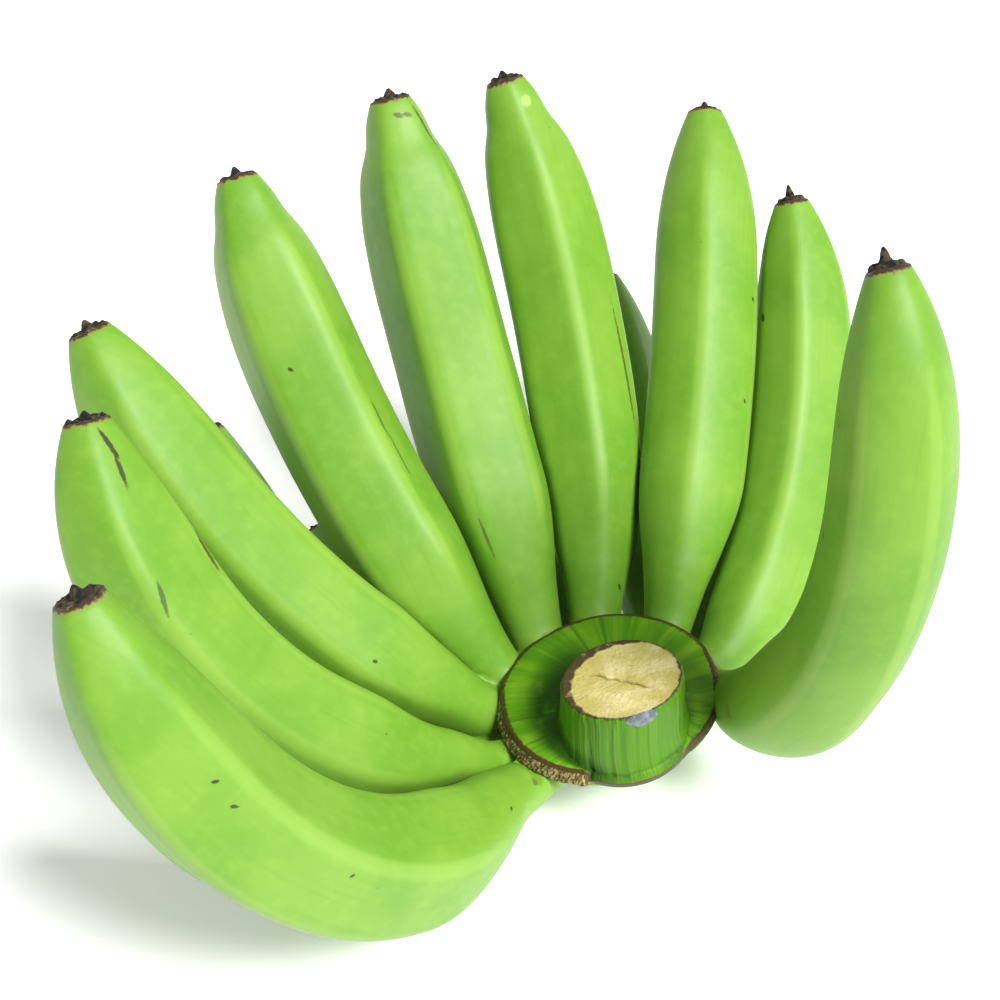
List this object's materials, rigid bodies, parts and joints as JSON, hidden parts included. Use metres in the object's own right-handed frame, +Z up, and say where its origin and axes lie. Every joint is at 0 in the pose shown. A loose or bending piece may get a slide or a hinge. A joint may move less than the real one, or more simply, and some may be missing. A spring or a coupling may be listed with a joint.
{
  "type": "banana hand",
  "caption": "Hand of unripe green bananas on a cut piece of stalk, curved fingers in an upper and a lower row, lying on a surface with the tips curling up",
  "frame": {"origin": "on the table surface under the middle of the hand's bounding box", "axes": "+Z up from the table, -Y towards the side of the hand that has no fingers, +X to the right seen from that side"},
  "size_m": [0.267, 0.3212, 0.2205],
  "materials": {
    "crown_skin": "green stalk skin, smooth and slightly waxy, with a fibrous tan cut face",
    "upper_peel": "unripe green banana peel, satin and waxy",
    "lower_peel": "unripe green banana peel, satin and waxy"
  },
  "bodies": {
    "root": {"crown": "crown_skin", "finger_upper_1": "upper_peel", "finger_upper_2": "upper_peel", "finger_upper_3": "upper_peel", "finger_upper_4": "upper_peel", "finger_upper_5": "upper_peel", "finger_upper_6": "upper_peel", "finger_upper_7": "upper_peel", "finger_upper_8": "upper_peel", "finger_upper_9": "upper_peel", "finger_lower_1": "lower_peel", "finger_lower_2": "lower_peel", "finger_lower_3": "lower_peel", "finger_lower_4": "lower_peel", "finger_lower_5": "lower_peel", "finger_lower_6": "lower_peel", "finger_lower_7": "lower_peel"}
  },
  "joints": []
}
